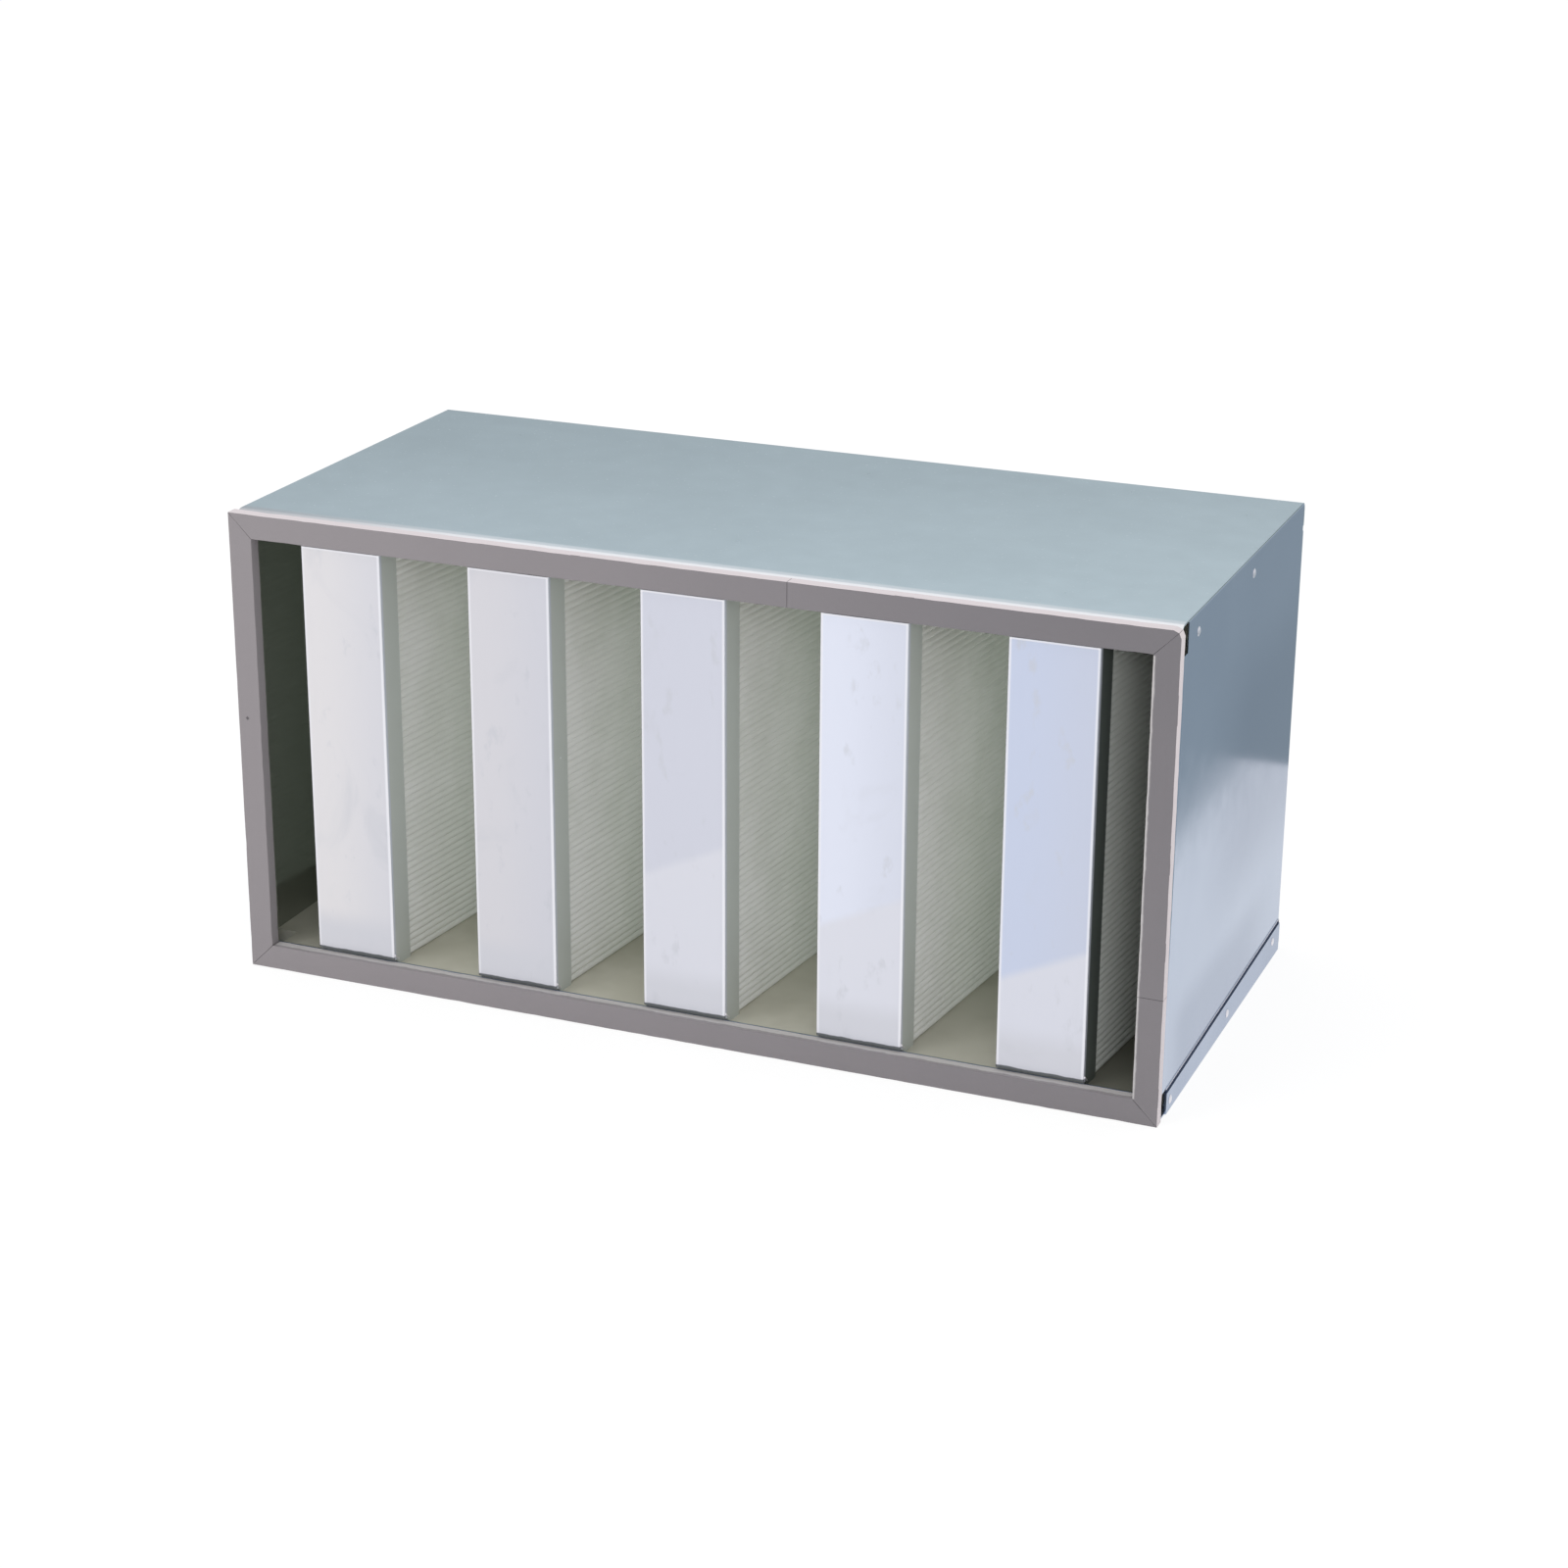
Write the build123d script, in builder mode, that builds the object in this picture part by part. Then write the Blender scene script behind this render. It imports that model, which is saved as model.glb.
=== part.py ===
from build123d import *
from math import hypot
import os

os.makedirs("parts", exist_ok=True)

# Overall sizes of the filter, in mm
width = 610.0
height = 305.0
depth = 292.0
sheet = 1.0

# Gasket
gasket_thick = 8.0
gasket_wide = 15.8
butt_top_x = 69.0
butt_right_z = 81.0
joint_gap = 0.3
corner_round = 5.0

# Folded sheet casing
bend_outer = 5.0
flange_wide = 15.8
side_flange = 15.0
lap_front = 13.5
lap_rear = 19.0
notch_depth = 11.0
notch_tall = 18.5
corner_set = 22.0

# Potting, caps and packs
potting_top_z = 14.0
side_margin = 17.25
cap_pitch = (width - 2 * side_margin) / 5
cap_wide = 54.8
cap_leg = 17.7
cap_proud = 2.0
cap_sheet = 1.0
cap_notch_z = 18.0
fold_clear = 4.4
seal_thick = 5.0
pack_thick = 25.0
pack_clear = 0.3
pleat_pitch = 4.6
paper = 0.4

# Rivets
rivet_head = 6.0
rivet_rise = 0.9
rivet_inset = 27.0
rivet_drop = 12.0
rivet_middle = 10.0
top_rivet_inset = 40.5
top_rivet_middle = 18.0

# Planes worked out from those sizes; the gasket front is at -Y
front = -depth / 2
flange_front = front + gasket_thick
flange_back = flange_front + sheet
rear = depth / 2
rear_inner = rear - sheet
half = width / 2
lap_out = half
wall_out = half - sheet
wall_in = wall_out - sheet
inner_edge = half - flange_wide
cap_front = flange_front - cap_proud
seal_back = cap_front + cap_sheet + seal_thick
rear_cap_face = rear_inner
rear_seal_front = rear_cap_face - cap_sheet - seal_thick
pack_run = rear_seal_front - seal_back
pack_seat = cap_wide / 2 - cap_sheet - pack_thick / 2 - pack_clear
slope = (cap_pitch / 2 - 2 * pack_seat) / (pack_run + 2 * (cap_sheet + seal_thick))
low = potting_top_z
high = height - potting_top_z


def save(piece, label):
    piece.part.label = label
    export_step(piece.part, "parts/" + label + ".step")


def extrude_x(points, x_from, x_to):
    """Solid from a profile of (y, z) points between two x values."""
    face_plane = Plane(origin=(x_from, 0, 0), x_dir=(0, 1, 0), z_dir=(1, 0, 0))
    with BuildSketch(face_plane, mode=Mode.PRIVATE) as profile:
        with BuildLine():
            Polyline(*points, close=True)
        make_face()
    extrude(profile.sketch, amount=x_to - x_from, dir=(1, 0, 0))


def extrude_z(points, z_from, z_to, mode=Mode.ADD):
    """Solid from a plan of (x, y) points between two z values."""
    with BuildSketch(Plane.XY.offset(z_from), mode=Mode.PRIVATE) as plan:
        with BuildLine():
            Polyline(*points, close=True)
        make_face()
    extrude(plan.sketch, amount=z_to - z_from, dir=(0, 0, 1), mode=mode)


def box_between(a, b, mode=Mode.ADD):
    """Box from one corner to the opposite one."""
    middle = [(a[i] + b[i]) / 2 for i in range(3)]
    with Locations(Location(tuple(middle))):
        Box(abs(b[0] - a[0]), abs(b[1] - a[1]), abs(b[2] - a[2]), mode=mode)


# Top sheet: a channel profile with both flanges, and side flanges inside the side sheets
top_profile = [
    (flange_front, height - flange_wide),
    (flange_front, height),
    (rear, height),
    (rear, height - flange_wide),
    (rear - sheet, height - flange_wide),
    (rear - sheet, height - sheet),
    (flange_back, height - sheet),
    (flange_back, height - flange_wide),
]


with BuildPart() as casing_top:
    extrude_x(top_profile, -wall_in, wall_in)
    inner_edges = casing_top.edges().filter_by(Axis.X).filter_by(
        lambda e: abs(e.center().Z - height + sheet) < 0.01)
    fillet(inner_edges, bend_outer - sheet)
    outer_edges = casing_top.edges().filter_by(Axis.X).filter_by(
        lambda e: abs(e.center().Z - height) < 0.01)
    fillet(outer_edges, bend_outer)
    for side in (-1, 1):
        box_between((side * wall_in, flange_front + corner_set, height - side_flange),
                    (side * (wall_in - sheet), rear - corner_set, height - sheet))
save(casing_top, "casing_top")

# Bottom sheet: same channel, with up-turned side flanges outside the side sheets
with BuildPart() as casing_bottom:
    bottom_profile = [(y, height - z) for y, z in top_profile]
    extrude_x(bottom_profile, -wall_out, wall_out)
    inner_edges = casing_bottom.edges().filter_by(Axis.X).filter_by(
        lambda e: abs(e.center().Z - sheet) < 0.01)
    fillet(inner_edges, bend_outer - sheet)
    outer_edges = casing_bottom.edges().filter_by(Axis.X).filter_by(
        lambda e: abs(e.center().Z) < 0.01)
    fillet(outer_edges, bend_outer)
    lap_profile = [
        (flange_front + notch_depth, 0),
        (rear - bend_outer, 0),
        (rear - bend_outer, lap_rear),
        (flange_front + notch_depth, lap_front),
    ]
    extrude_x(lap_profile, wall_out, lap_out)
    extrude_x(lap_profile, -lap_out, -wall_out)
save(casing_bottom, "casing_bottom")

# Side sheets: front and rear flanges between the top and bottom ones, with relief notches
for side, label in ((-1, "casing_left"), (1, "casing_right")):
    with BuildPart() as casing_side:
        plan = [
            (side * inner_edge, flange_front),
            (side * wall_out, flange_front),
            (side * wall_out, rear),
            (side * inner_edge, rear),
            (side * inner_edge, rear - sheet),
            (side * wall_in, rear - sheet),
            (side * wall_in, flange_back),
            (side * inner_edge, flange_back),
        ]
        extrude_z(plan, sheet, height - 0.5)
        inner_edges = casing_side.edges().filter_by(Axis.Z).filter_by(
            lambda e: abs(abs(e.center().X) - wall_in) < 0.01)
        fillet(inner_edges, bend_outer - sheet)
        outer_edges = casing_side.edges().filter_by(Axis.Z).filter_by(
            lambda e: abs(abs(e.center().X) - wall_out) < 0.01)
        fillet(outer_edges, bend_outer)
        for z_from, z_to in ((0, flange_wide + joint_gap), (height - notch_tall, height)):
            box_between((side * (inner_edge - 1), flange_front - 1, z_from),
                        (side * (lap_out + 1), flange_front + notch_depth, z_to),
                        mode=Mode.SUBTRACT)
            box_between((side * (inner_edge - 1), rear + 1, z_from),
                        (side * (lap_out + 1), rear - bend_outer - 1, z_to),
                        mode=Mode.SUBTRACT)
    save(casing_side, label)

# Cast potting slabs between the flanges, set back at the notched front corners
for label, z_from, z_to in (("potting_bottom", sheet, low), ("potting_top", high, height - sheet)):
    with BuildPart() as potting:
        side_x = wall_in - (sheet if label == "potting_top" else 0)
        box_between((-side_x, flange_back, z_from), (side_x, rear_inner, z_to))
        for side in (-1, 1):
            for y_from, y_to in ((flange_back - 1, flange_front + corner_set), (rear - corner_set, rear)):
                box_between((side * (inner_edge - 1), y_from, z_from - 1),
                            (side * half, y_to, z_to + 1), mode=Mode.SUBTRACT)
        outer_z = z_from if label == "potting_bottom" else z_to
        fold_edges = potting.edges().filter_by(Axis.X).filter_by(
            lambda e: abs(e.center().Z - outer_z) < 0.01 and abs(e.center().Y) > rear - corner_set + 1)
        chamfer(fold_edges, bend_outer - sheet)
    save(potting, label)

# Cap profile seen from the side: the ends are notched to pass between the casing flanges
cap_top_z = height - cap_notch_z


def cap_side(y_face, direction):
    """Side outline of a cap whose face is at y_face and whose legs run along direction."""
    def at(step):
        return y_face + direction * step
    return [
        (at(0), cap_notch_z),
        (at(3.6), cap_notch_z - 1.2),
        (at(5.2), low),
        (at(cap_leg), low),
        (at(cap_leg), high),
        (at(5.2), high),
        (at(3.6), cap_top_z + 1.2),
        (at(0), cap_top_z),
    ]


def cap_plan(x, y_face, direction, flare, grow):
    """Plan outline of a cap, spread by flare along its legs, grown or shrunk by grow."""
    reach = cap_leg + (1 if grow < 0 else 0)
    start = cap_sheet if grow < 0 else 0
    return [
        (x - cap_wide / 2 - grow - flare * start, y_face + direction * start),
        (x + cap_wide / 2 + grow + flare * start, y_face + direction * start),
        (x + cap_wide / 2 + grow + flare * reach, y_face + direction * reach),
        (x - cap_wide / 2 - grow - flare * reach, y_face + direction * reach),
    ]


def build_cap(label, x, y_face, direction):
    with BuildPart() as cap:
        extrude_z(cap_plan(x, y_face, direction, slope, 0), low, high)
        extrude_z(cap_plan(x, y_face, direction, slope, -cap_sheet), low, high, mode=Mode.SUBTRACT)
        edges_at_face = cap.edges().filter_by(Axis.Z).filter_by(
            lambda e: abs(e.center().Y - y_face) < 0.01)
        fillet(edges_at_face, 0.9)
        outline_plane = Plane(origin=(x - cap_wide, 0, 0), x_dir=(0, 1, 0), z_dir=(1, 0, 0))
        with BuildSketch(outline_plane, mode=Mode.PRIVATE) as outline:
            with BuildLine():
                Polyline(*cap_side(y_face, direction), close=True)
            make_face()
        extrude(outline.sketch, amount=2 * cap_wide, dir=(1, 0, 0), mode=Mode.INTERSECT)
    save(cap, label)


cap_xs = [(k - 2) * cap_pitch for k in range(5)]
for k, x in enumerate(cap_xs):
    build_cap("front_cap_" + str(k + 1), x, cap_front, 1)
for k in range(4):
    build_cap("rear_cap_" + str(k + 1), (cap_xs[k] + cap_xs[k + 1]) / 2, rear_cap_face, -1)

# Outer rear closers: from the last pack to the side sheet, clear of its fold
closer_leg_x = cap_xs[4] + cap_pitch / 2 - cap_wide / 2


def closer_plan(side, skin, reach):
    """Plan outline of a closer, drawn in by skin, its legs ending at reach."""
    leg_x = closer_leg_x + skin
    wall_x = wall_in - skin
    face_y = rear_cap_face - skin
    return [
        (side * (leg_x - slope * skin), face_y),
        (side * (wall_x - fold_clear), face_y),
        (side * wall_x, face_y - fold_clear),
        (side * wall_x, rear_cap_face - reach),
        (side * (leg_x - slope * reach), rear_cap_face - reach),
    ]


for side, label in ((-1, "rear_closer_left"), (1, "rear_closer_right")):
    with BuildPart() as closer:
        extrude_z(closer_plan(side, 0, cap_leg), low, high)
        extrude_z(closer_plan(side, cap_sheet, cap_leg + 1), low, high, mode=Mode.SUBTRACT)
    save(closer, label)

# Sealant behind each cap, between its legs, where the pack ends are set


def seal_plan(x, y_near, y_far, y_face):
    """Plan of the sealant between the legs of the cap at x."""
    near = abs(y_near - y_face) * slope
    far = abs(y_far - y_face) * slope
    inside = cap_wide / 2 - cap_sheet
    return [
        (x - inside - near, y_near),
        (x + inside + near, y_near),
        (x + inside + far, y_far),
        (x - inside - far, y_far),
    ]


for k, x in enumerate(cap_xs):
    with BuildPart() as seal:
        extrude_z(seal_plan(x, cap_front + cap_sheet, flange_back, cap_front), cap_notch_z, cap_top_z)
        extrude_z(seal_plan(x, flange_back, seal_back, cap_front), low, high)
    save(seal, "front_seal_" + str(k + 1))
for k in range(4):
    x = (cap_xs[k] + cap_xs[k + 1]) / 2
    with BuildPart() as seal:
        plan = seal_plan(x, rear_cap_face - cap_sheet, rear_seal_front, rear_cap_face)
        extrude_z(plan, low, high)
    save(seal, "rear_seal_" + str(k + 1))
for side, label in ((-1, "rear_seal_left"), (1, "rear_seal_right")):
    with BuildPart() as seal:
        extrude_z(closer_plan(side, cap_sheet, cap_sheet + seal_thick), low, high)
    save(seal, label)

# Pleated packs: one folded sheet of paper each, its folds running along the pack
fold_count = round((high - low) / (pleat_pitch / 2))
fold_step = (high - low) / fold_count
fold_band = paper * pack_thick / fold_step


def pleat_profile():
    """Closed zigzag outline of the folded sheet as (x, z) points."""
    near_side = []
    for i in range(fold_count + 1):
        x = -pack_thick / 2 if i % 2 == 0 else pack_thick / 2 - fold_band
        near_side.append((x, low + i * fold_step))
    far_side = [(x + fold_band, z) for x, z in near_side]
    return near_side + far_side[::-1]


pack_front_x = pack_seat + (cap_sheet + seal_thick) * slope
for k in range(10):
    x = cap_xs[k // 2]
    turn = 1 if k % 2 else -1
    with BuildPart() as pack:
        start = Plane(origin=(x + turn * pack_front_x, seal_back, 0), x_dir=(turn, 0, 0),
                      z_dir=(0, -turn, 0))
        with BuildSketch(start, mode=Mode.PRIVATE) as zigzag:
            with BuildLine():
                Polyline(*pleat_profile(), close=True)
            make_face()
        extrude(zigzag.sketch, amount=pack_run * hypot(slope, 1), dir=(turn * slope, 1, 0))
    save(pack, "media_pack_" + str(k + 1))

# Gasket strips on the front flanges
inner_z = gasket_wide
top_z = height - gasket_wide
gap = joint_gap / 2
corner_cut = 0.293 * corner_round


def gasket_strip(label, points):
    with BuildPart() as strip:
        strip_plane = Plane(origin=(0, front, 0), x_dir=(1, 0, 0), z_dir=(0, -1, 0))
        with BuildSketch(strip_plane, mode=Mode.PRIVATE) as outline:
            with BuildLine():
                Polyline(*points, close=True)
            make_face()
        extrude(outline.sketch, amount=gasket_thick, dir=(0, 1, 0))
    save(strip, label)


gasket_strip("gasket_top_left", [
    (-half + gap, height), (butt_top_x - gap, height), (butt_top_x - gap, top_z),
    (-inner_edge + gap, top_z)])
gasket_strip("gasket_top_right", [
    (butt_top_x + gap, height), (half - corner_round, height), (half - corner_cut - gap, height - corner_cut),
    (inner_edge - gap, top_z), (butt_top_x + gap, top_z)])
gasket_strip("gasket_right_upper", [
    (half, height - corner_round), (half, butt_right_z + gap), (inner_edge, butt_right_z + gap),
    (inner_edge, top_z - gap), (half - corner_cut, height - corner_cut - gap)])
gasket_strip("gasket_right_lower", [
    (half, butt_right_z - gap), (half, gap), (inner_edge, inner_z + gap),
    (inner_edge, butt_right_z - gap)])
gasket_strip("gasket_bottom", [
    (-half + gap, 0), (half - gap, 0), (inner_edge - gap, inner_z), (-inner_edge + gap, inner_z)])
gasket_strip("gasket_left", [
    (-half, gap), (-half, height - gap), (-inner_edge, top_z - gap), (-inner_edge, inner_z + gap)])

# Rivets along the side edges: two near the top and three in the bottom lap on each side
rivet_low_z = (6.6, 8.2, 12.4)
top_rivets = [(front + top_rivet_inset, height - rivet_drop), (top_rivet_middle, height - rivet_drop)]
low_rivets = [
    (front + rivet_inset, rivet_low_z[0]),
    (rivet_middle, rivet_low_z[1]),
    (rear - rivet_inset + 4, rivet_low_z[2]),
]
for side, label in ((-1, "rivets_left"), (1, "rivets_right")):
    with BuildPart() as rivets:
        for y, z in top_rivets:
            with BuildSketch(Plane(origin=(side * wall_out, y, z), z_dir=(side, 0, 0))):
                Circle(rivet_head / 2)
            extrude(amount=rivet_rise, taper=25)
        for y, z in low_rivets:
            with BuildSketch(Plane(origin=(side * lap_out, y, z), z_dir=(side, 0, 0))):
                Circle(rivet_head / 2)
            extrude(amount=rivet_rise, taper=25)
    save(rivets, label)
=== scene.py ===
import bpy
import bmesh
import math
from mathutils import Matrix, Vector, noise


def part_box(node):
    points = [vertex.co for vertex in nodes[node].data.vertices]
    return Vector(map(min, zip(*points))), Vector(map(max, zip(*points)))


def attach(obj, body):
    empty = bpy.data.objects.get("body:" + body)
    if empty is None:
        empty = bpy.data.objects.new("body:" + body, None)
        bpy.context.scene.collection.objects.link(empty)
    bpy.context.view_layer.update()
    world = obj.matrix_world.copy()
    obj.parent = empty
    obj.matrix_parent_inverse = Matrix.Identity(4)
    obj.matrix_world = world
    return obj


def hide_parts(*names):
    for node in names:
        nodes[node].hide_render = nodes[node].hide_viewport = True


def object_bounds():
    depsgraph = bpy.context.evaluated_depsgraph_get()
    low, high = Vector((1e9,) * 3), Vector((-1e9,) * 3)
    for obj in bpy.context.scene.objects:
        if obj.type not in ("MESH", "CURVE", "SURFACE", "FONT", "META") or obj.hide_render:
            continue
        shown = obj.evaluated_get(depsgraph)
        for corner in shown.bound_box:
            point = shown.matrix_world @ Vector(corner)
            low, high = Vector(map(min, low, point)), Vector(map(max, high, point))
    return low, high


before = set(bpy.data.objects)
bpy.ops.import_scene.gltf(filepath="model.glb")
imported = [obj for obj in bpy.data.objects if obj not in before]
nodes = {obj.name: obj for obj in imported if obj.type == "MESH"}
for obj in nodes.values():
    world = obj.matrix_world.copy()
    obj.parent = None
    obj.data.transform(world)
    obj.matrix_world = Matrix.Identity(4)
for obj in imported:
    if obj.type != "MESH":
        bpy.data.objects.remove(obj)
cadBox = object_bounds()
print("frame loaded:", len(nodes), "nodes")


# shader values that add, subtract and multiply like numbers
class Value:
    def __init__(self, shader, socket):
        self.shader = shader
        self.socket = socket

    def maths(self, operation, first, second=0.0):
        made = self.shader.node("ShaderNodeMath", {"operation": operation}, {0: first, 1: second})
        return Value(self.shader, made.outputs[0])

    def __add__(self, other):
        return self.maths("ADD", self, other)

    def __sub__(self, other):
        return self.maths("SUBTRACT", self, other)

    def __rsub__(self, other):
        return self.maths("SUBTRACT", other, self)

    def __mul__(self, other):
        return self.maths("MULTIPLY", self, other)

    def __abs__(self):
        return self.maths("ABSOLUTE", self)

    def rise(self, low, high):  # 0 below low, 1 above high, smooth between; low may be the larger
        made = self.shader.node("ShaderNodeMapRange", {"interpolation_type": "SMOOTHSTEP"},
                                {"Value": self, "From Min": low, "From Max": high})
        return Value(self.shader, made.outputs[0])


class Shader:
    def __init__(self, tree):
        self.tree = tree

    def node(self, kind, settings=None, sockets=None):
        made = self.tree.nodes.new(kind)
        for key, value in (settings or {}).items():
            setattr(made, key, value)
        for key, value in (sockets or {}).items():
            if isinstance(value, Value):
                self.tree.links.new(value.socket, made.inputs[key])
            else:
                made.inputs[key].default_value = value
        return made

    def value(self, made, name=0):
        return Value(self, made.outputs[name])

    def places(self):  # where a point of the piece is, in metres
        made = self.node("ShaderNodeTexCoord")
        self.spot = self.value(made, "Object")
        split = self.node("ShaderNodeSeparateXYZ", {}, {0: self.spot})
        self.x, self.y, self.z = (self.value(split, axis) for axis in range(3))

    def noise(self, scale, detail=2.0, rough=0.5, stretch=(1, 1, 1), shift=(0, 0, 0), twist=0.0):
        mapped = self.node("ShaderNodeMapping", {},
                           {"Vector": self.spot, "Scale": stretch, "Location": shift})
        made = self.node("ShaderNodeTexNoise", {}, {
            "Vector": self.value(mapped), "Scale": scale, "Detail": detail, "Roughness": rough,
            "Distortion": twist})
        return self.value(made)

    def mix(self, share, first, second):  # colours, by share
        colours = [c if isinstance(c, Value) else (*c, 1.0) for c in (first, second)]
        made = self.node("ShaderNodeMix", {"data_type": "RGBA"}, {0: share, 6: colours[0], 7: colours[1]})
        return self.value(made, 2)


def tone(*levels):  # a colour as seen on screen, 0 to 255
    shares = [level / 255 for level in levels]
    return tuple(s / 12.92 if s <= 0.04045 else ((s + 0.055) / 1.055) ** 2.4 for s in shares)


def newFinish(name, **constants):
    material = bpy.data.materials.new(name)
    material.use_nodes = True
    finish = Shader(material.node_tree)
    finish.material = material
    finish.surface = finish.tree.nodes["Principled BSDF"]
    for key, value in constants.items():
        if isinstance(value, tuple):
            value = (*value, 1.0)
        finish.surface.inputs[key.replace("_", " ")].default_value = value
    finish.places()
    return finish


def feed(finish, **wires):
    for key, wire in wires.items():
        finish.tree.links.new(wire.socket, finish.surface.inputs[key.replace("_", " ")])


def bump(finish, height, strength, distance):
    made = finish.node("ShaderNodeBump", {}, {"Height": height, "Strength": strength, "Distance": distance})
    feed(finish, Normal=finish.value(made))


# galvanised sheets; places are in metres, and a pair of limits runs from none of a tone to all of it
sheetLook = {
    "top": {"dark": (169, 181, 187), "light": (211, 223, 229), "level": 0.5, "alongX": 0.85, "alongY": -1.6,
            "cloudy": 0.3, "rough": 0.3, "grain": 1.0,
            "foldAcross": (-0.32, -0.1), "foldFront": (-0.127, -0.1305)},
    "side": {"dark": (158, 172, 196), "light": (168, 181, 203), "level": 0.5, "alongX": 0.0, "alongY": 0.0,
             "cloudy": 2.0, "rough": 0.13, "grain": 0.0, "foldFront": (-0.1335, -0.1345),
             "rightOnly": (0.1, 0.2), "inward": (0.3036, 0.3033), "rearFold": (0.138, 0.136)},
    "lap": {"dark": (150, 164, 188), "light": (166, 179, 201), "level": 0.5, "alongX": 0.0, "alongY": 0.0,
            "cloudy": 2.0, "rough": 0.3, "grain": 0.2},
    # band and foot: where the right sheet is painted darker, a painted dark reflection
    "band": {"up": (0.06, 0.125), "back": (-0.09, 0.04), "fade": (0.2, 0.27), "faded": 0.8},
    "foot": {"down": (0.075, 0.045), "rear": (0.13, 0.04), "front": (-0.135, -0.09), "share": 0.8},
    # the fold tones paint a highlight along the front bends of the sheets
    "fold": (236, 238, 242), "foldLeft": (184, 187, 192), "paintedDarkReflection": (138, 152, 177),
    "inner": (166, 170, 163), "speck": (238, 242, 246), "metal": 0.94,
    "cloudSize": 9.0, "cloudStretch": (1, 1.4, 1), "mottleSize": 60.0, "mottled": 0.3, "roughMottle": 0.1,
    "speckSize": 420.0, "speckLimits": (0.7, 0.76), "grainShare": 0.4,
    "wavy": 0.6, "bump": 0.05, "bumpHeight": 0.002,
}


def galvanised(name):
    look = sheetLook[name]
    finish = newFinish(name + "Steel", Metallic=sheetLook["metal"])
    cloud = finish.noise(sheetLook["cloudSize"], 3.0, 0.55, sheetLook["cloudStretch"]) - 0.5
    mottle = finish.noise(sheetLook["mottleSize"], 3.0, 0.6) - 0.5
    share = finish.x * look["alongX"] + finish.y * look["alongY"] + look["level"]
    share = share + cloud * look["cloudy"] + mottle * sheetLook["mottled"]
    base = finish.mix(share, tone(*look["dark"]), tone(*look["light"]))
    grain = sheetLook["grainShare"] * look["grain"]
    speck = finish.noise(sheetLook["speckSize"], 1.0, 0.5).rise(*sheetLook["speckLimits"])
    base = finish.mix(speck * grain, base, tone(*sheetLook["speck"]))
    rough = mottle * sheetLook["roughMottle"] + look["rough"]
    return finish, base, rough, cloud * sheetLook["wavy"] + mottle * grain


def galvanisedDone(finish, base, rough, height):
    feed(finish, Base_Color=base, Roughness=rough)
    bump(finish, height, sheetLook["bump"], sheetLook["bumpHeight"])
    return finish


def topSheet():
    finish, base, rough, height = galvanised("top")
    look = sheetLook["top"]
    # painted highlight along the front bend, dimmer to the left
    across = finish.x.rise(*look["foldAcross"])
    fold = finish.mix(across, tone(*sheetLook["foldLeft"]), tone(*sheetLook["fold"]))
    base = finish.mix(finish.y.rise(*look["foldFront"]), base, fold)
    return galvanisedDone(finish, base, rough, height)


def sideSheet():  # with soft dark areas on the right sheet: a painted dark reflection
    finish, base, rough, height = galvanised("side")
    look, band, foot = sheetLook["side"], sheetLook["band"], sheetLook["foot"]
    y, z = finish.y, finish.z
    upper = z.rise(*band["up"]) * y.rise(*band["back"]) * (1 - z.rise(*band["fade"]) * band["faded"])
    lower = z.rise(*foot["down"]) * y.rise(*foot["rear"]) * y.rise(*foot["front"]) * foot["share"]
    paintedDarkReflection = (upper + lower) * finish.x.rise(*look["rightOnly"])
    base = finish.mix(paintedDarkReflection, base, tone(*sheetLook["paintedDarkReflection"]))
    # painted highlight along the front bend
    base = finish.mix(y.rise(*look["foldFront"]), base, tone(*sheetLook["fold"]))
    # the inner face of the sheet takes a greenish tone: painted reflection of the media inside
    inside = abs(finish.x).rise(*look["inward"]) * y.rise(*look["rearFold"])
    base = finish.mix(inside, base, tone(*sheetLook["inner"]))
    return galvanisedDone(finish, base, rough, height)


topSteel = topSheet()
sideSteel = sideSheet()
lapSteel = galvanisedDone(*galvanised("lap"))

# bright channel caps, each with its own tone
capLook = {
    "faces": ((224, 222, 225), (214, 213, 219), (209, 211, 223), (224, 228, 242), (200, 208, 229)),
    "between": (-0.1726, -0.0575, 0.0575, 0.1726), "betweenSoft": 0.002, "pitch": 0.1151,  # along x
    "rightward": {"colour": (200, 203, 216), "across": (-0.02, 0.03), "away": (0.06, 0.07), "share": 0.4},
    "lower": {"colour": (219, 220, 229), "slant": 0.6, "fall": -0.13, "height": 0.118,
              "soft": 0.004, "from": (-0.06, -0.05), "share": 0.85},
    "foot": {"colour": (207, 208, 216), "down": (0.05, 0.032), "share": 0.8},
    "smudge": {"colour": (198, 200, 208), "smearSize": 24.0, "smear": (0.55, 0.74), "smearShare": 0.35,
               "dirtSize": 90.0, "dirt": (0.6, 0.76), "dirtShare": 0.5},
    "edgeHighlight": {"colour": (238, 238, 244), "across": (0.0252, 0.0263), "up": (0.2855, 0.2863), "share": 0.8},
    "gap": {"colour": (92, 98, 100), "down": (0.0206, 0.02), "frayedSize": 120.0, "frayed": 0.0014,
            "share": 0.9},
    "leg": {"near": (206, 210, 224), "left": (194, 199, 196), "right": (95, 102, 99),
            "from": (0.1397, 0.139), "deep": (0.1388, 0.1368), "rightFrom": (0.2, 0.21), "metal": 0.3},
    "dot": {"x": -0.0877, "y": -0.13, "z": 0.169, "size": (0.0022, 0.0012)},
    "metal": 0.85, "rough": 0.29, "roughGrain": 0.1, "grainSize": 300.0,
    "waveSize": 14.0, "bump": 0.1, "bumpHeight": 0.003,
}


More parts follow.
